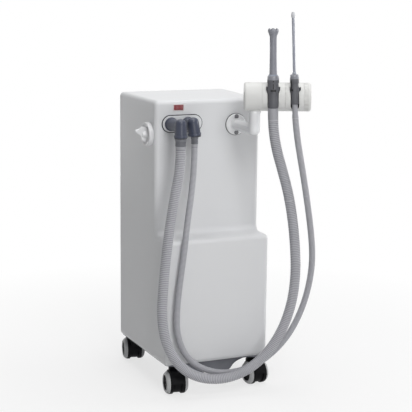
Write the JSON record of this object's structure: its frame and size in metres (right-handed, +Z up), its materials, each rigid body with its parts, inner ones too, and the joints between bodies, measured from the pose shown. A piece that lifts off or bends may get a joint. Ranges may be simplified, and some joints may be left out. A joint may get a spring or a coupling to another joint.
{
  "type": "mobile dental suction unit",
  "caption": "Wheeled dental suction cabinet with a stepped front, two hoses, a swivelling drum holder for the suction handpieces, a power rocker and a flow knob.",
  "frame": {"origin": "middle of the object's footprint box without the hoses, on the floor", "axes": "+Z up, -Y towards the user who faces the sockets, +X to that user's right"},
  "size_m": [0.4234, 0.4807, 0.9731],
  "materials": {
    "cover_plastic": "satin moulded shell",
    "panel_paint": "fine powder coat",
    "plate_steel": "zinc plated sheet",
    "mount_rubber": "black rubber",
    "motor_paint": "grey enamel",
    "head_aluminium": "as cast",
    "tank_plastic": "translucent",
    "inner_plastic": "matt",
    "connector_plastic": "glossy dark blue grey",
    "plate_plastic": "glossy",
    "gasket_rubber": "matt",
    "cuff_rubber": "soft matt",
    "hose_plastic": "ribbed, satin",
    "bezel_plastic": "glossy",
    "rocker_plastic": "glossy dark red",
    "knob_plastic": "satin",
    "arm_plastic": "satin",
    "drum_plastic": "satin",
    "screw_steel": "bright",
    "rod_steel": "bright drawn",
    "handpiece_plastic": "fine matt",
    "slide_plastic": "fine matt",
    "hve_tube_plastic": "satin",
    "se_tube_plastic": "translucent",
    "tip_plastic": "soft, glossy",
    "inlet_plastic": "matt black",
    "outlet_plastic": "matt",
    "caster_plastic": "satin black",
    "wheel_rubber": "grey tread"
  },
  "bodies": {
    "cabinet": {"cover": "cover_plastic", "back_panel": "panel_paint", "base_pan": "plate_steel", "shelf": "plate_steel", "pump_mounts": "mount_rubber", "pump_motor": "motor_paint", "pump_head": "head_aluminium", "separator_tank": "tank_plastic", "separator_lid": "inner_plastic", "silencer": "inner_plastic", "control_box": "inner_plastic", "inlet_manifold": "inner_plastic", "suction_pipe": "mount_rubber", "vacuum_pipe": "mount_rubber", "drain_pipe": "mount_rubber", "regulator_valve": "inner_plastic", "connection_plate": "plate_plastic", "plate_gasket": "gasket_rubber", "hve_elbow": "connector_plastic", "se_elbow": "connector_plastic", "hve_cuff": "cuff_rubber", "se_cuff": "cuff_rubber", "switch_bezel": "bezel_plastic", "holder_flange": "arm_plastic", "screws": "screw_steel", "holder_arm": "arm_plastic", "power_inlet": "inlet_plastic", "exhaust_outlet": "outlet_plastic", "drain_outlet": "outlet_plastic", "caster_plates": "plate_steel", "hve_hose": "hose_plastic", "se_hose": "hose_plastic"},
    "rocker": {"power_rocker": "rocker_plastic"},
    "regulator": {"regulator_knob": "knob_plastic"},
    "holder": {"drum_mount": "drum_plastic", "hve_holder": "drum_plastic", "se_holder": "drum_plastic", "tie_rod": "rod_steel"},
    "holder_end": {"end_knob": "drum_plastic"},
    "hve": {"hve_handpiece": "handpiece_plastic", "hve_hose_tail": "hose_plastic"},
    "hve_valve": {"hve_slide": "slide_plastic"},
    "hve_tube": {"hve_cannula": "hve_tube_plastic"},
    "se": {"se_handpiece": "handpiece_plastic", "se_hose_tail": "hose_plastic"},
    "se_valve": {"se_slide": "slide_plastic"},
    "se_tube": {"se_cannula": "se_tube_plastic", "se_tip": "tip_plastic"},
    "caster_front_left": {"hood_front_left": "caster_plastic"},
    "wheel_front_left_left": {"wheel_front_left_left": "wheel_rubber"},
    "wheel_front_left_right": {"wheel_front_left_right": "wheel_rubber"},
    "caster_front_right": {"hood_front_right": "caster_plastic"},
    "wheel_front_right_left": {"wheel_front_right_left": "wheel_rubber"},
    "wheel_front_right_right": {"wheel_front_right_right": "wheel_rubber"},
    "caster_back_left": {"hood_back_left": "caster_plastic"},
    "wheel_back_left_left": {"wheel_back_left_left": "wheel_rubber"},
    "wheel_back_left_right": {"wheel_back_left_right": "wheel_rubber"},
    "caster_back_right": {"hood_back_right": "caster_plastic"},
    "wheel_back_right_left": {"wheel_back_right_left": "wheel_rubber"},
    "wheel_back_right_right": {"wheel_back_right_right": "wheel_rubber"}
  },
  "joints": [
    {"name": "power_rocker_tilt", "type": "hinge", "parent": "cabinet", "child": "rocker", "pos_m": [-0.09723, -0.03556, 0.7294], "axis": [0, 0, 1], "range_deg": [0, 14]},
    {"name": "regulator_turn", "type": "hinge", "parent": "cabinet", "child": "regulator", "pos_m": [-0.16222, -0.00456, 0.66], "axis": [-0.9992, -0.0395, 0], "range_deg": [-135, 135]},
    {"name": "holder_swivel", "type": "hinge", "parent": "cabinet", "child": "holder", "pos_m": [0.06117, -0.15406, 0.7635], "axis": [0, 0, 1], "range_deg": [-45, 45]},
    {"name": "holder_end_turn", "type": "hinge", "parent": "holder", "child": "holder_end", "pos_m": [0.06117, -0.15406, 0.7635], "axis": [0.9219, -0.3875, 0], "range_deg": [-90, 90]},
    {"name": "hve_lift", "type": "slide", "parent": "holder", "child": "hve", "axis": [-0.0161, 0.0068, 0.9998], "range_m": [0, 0.07]},
    {"name": "hve_valve_slide", "type": "slide", "parent": "hve", "child": "hve_valve", "axis": [-0.0161, 0.0068, 0.9998], "range_m": [0, 0.008]},
    {"name": "hve_cannula_pull", "type": "slide", "parent": "hve", "child": "hve_tube", "axis": [-0.0161, 0.0068, 0.9998], "range_m": [0, 0.03]},
    {"name": "se_lift", "type": "slide", "parent": "holder", "child": "se", "axis": [-0.0402, 0.0169, 0.999], "range_m": [0, 0.07]},
    {"name": "se_valve_slide", "type": "slide", "parent": "se", "child": "se_valve", "axis": [-0.0402, 0.0169, 0.999], "range_m": [0, 0.008]},
    {"name": "se_cannula_pull", "type": "slide", "parent": "se", "child": "se_tube", "axis": [-0.0402, 0.0169, 0.999], "range_m": [0, 0.03]},
    {"name": "caster_front_left_swivel", "type": "hinge", "parent": "cabinet", "child": "caster_front_left", "pos_m": [-0.12594, -0.08756, 0.06], "axis": [0, 0, 1], "continuous": true},
    {"name": "wheel_front_left_left_spin", "type": "hinge", "parent": "caster_front_left", "child": "wheel_front_left_left", "pos_m": [-0.12813, -0.10744, 0.03], "axis": [0.994, -0.1097, 0], "continuous": true},
    {"name": "wheel_front_left_right_spin", "type": "hinge", "parent": "caster_front_left", "child": "wheel_front_left_right", "pos_m": [-0.12813, -0.10744, 0.03], "axis": [0.994, -0.1097, 0], "continuous": true},
    {"name": "caster_front_right_swivel", "type": "hinge", "parent": "cabinet", "child": "caster_front_right", "pos_m": [0.09427, -0.08756, 0.06], "axis": [0, 0, 1], "continuous": true},
    {"name": "wheel_front_right_left_spin", "type": "hinge", "parent": "caster_front_right", "child": "wheel_front_right_left", "pos_m": [0.0966, -0.10742, 0.03], "axis": [0.9932, 0.1167, 0], "continuous": true},
    {"name": "wheel_front_right_right_spin", "type": "hinge", "parent": "caster_front_right", "child": "wheel_front_right_right", "pos_m": [0.0966, -0.10742, 0.03], "axis": [0.9932, 0.1167, 0], "continuous": true},
    {"name": "caster_back_left_swivel", "type": "hinge", "parent": "cabinet", "child": "caster_back_left", "pos_m": [-0.13669, 0.18444, 0.06], "axis": [0, 0, 1], "continuous": true},
    {"name": "wheel_back_left_left_spin", "type": "hinge", "parent": "caster_back_left", "child": "wheel_back_left_left", "pos_m": [-0.13322, 0.20414, 0.03], "axis": [0.9848, -0.1736, 0], "continuous": true},
    {"name": "wheel_back_left_right_spin", "type": "hinge", "parent": "caster_back_left", "child": "wheel_back_left_right", "pos_m": [-0.13322, 0.20414, 0.03], "axis": [0.9848, -0.1736, 0], "continuous": true},
    {"name": "caster_back_right_swivel", "type": "hinge", "parent": "cabinet", "child": "caster_back_right", "pos_m": [0.10502, 0.18444, 0.06], "axis": [0, 0, 1], "continuous": true},
    {"name": "wheel_back_right_left_spin", "type": "hinge", "parent": "caster_back_right", "child": "wheel_back_right_left", "pos_m": [0.10224, 0.20425, 0.03], "axis": [0.9903, 0.1392, 0], "continuous": true},
    {"name": "wheel_back_right_right_spin", "type": "hinge", "parent": "caster_back_right", "child": "wheel_back_right_right", "pos_m": [0.10224, 0.20425, 0.03], "axis": [0.9903, 0.1392, 0], "continuous": true}
  ]
}
